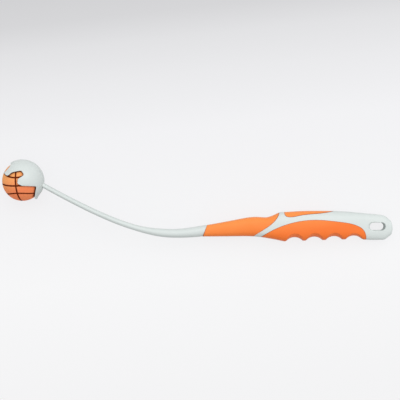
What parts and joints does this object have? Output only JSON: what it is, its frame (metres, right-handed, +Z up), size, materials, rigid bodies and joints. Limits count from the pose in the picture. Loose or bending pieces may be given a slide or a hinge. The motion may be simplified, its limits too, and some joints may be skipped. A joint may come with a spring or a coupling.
{
  "type": "dog ball thrower",
  "caption": "Hand-held dog ball thrower: a scalloped cup that grips a ball, a thin curved arm and a sculpted handle with soft grips and a hanging hole.",
  "frame": {"origin": "centre of the bounding box's bottom face, on the surface that the thrower lies on", "axes": "+X from the ball towards the handle's end, +Y from the finger side of the handle towards its thumb side, +Z up, square to the plane that the thrower is swung in"},
  "size_m": [0.4982, 0.1048, 0.0554],
  "materials": {
    "white_plastic": "satin moulded polypropylene",
    "orange_rubber": "fine matt moulded soft rubber",
    "ball_rubber": "matt rubber",
    "seam_rubber": "matt dark rubber"
  },
  "bodies": {
    "wand": {"ball_cup": "white_plastic", "shaft": "white_plastic", "handle_core": "white_plastic", "front_sleeve": "orange_rubber", "finger_grip": "orange_rubber", "top_strip": "orange_rubber"},
    "ball": {"ball_shell": "ball_rubber", "ball_seams": "seam_rubber"}
  },
  "joints": [
    {"name": "ball_release", "type": "slide", "parent": "wand", "child": "ball", "axis": [-0.6225, -0.7826, 0], "range_m": [0, 0.065]}
  ]
}
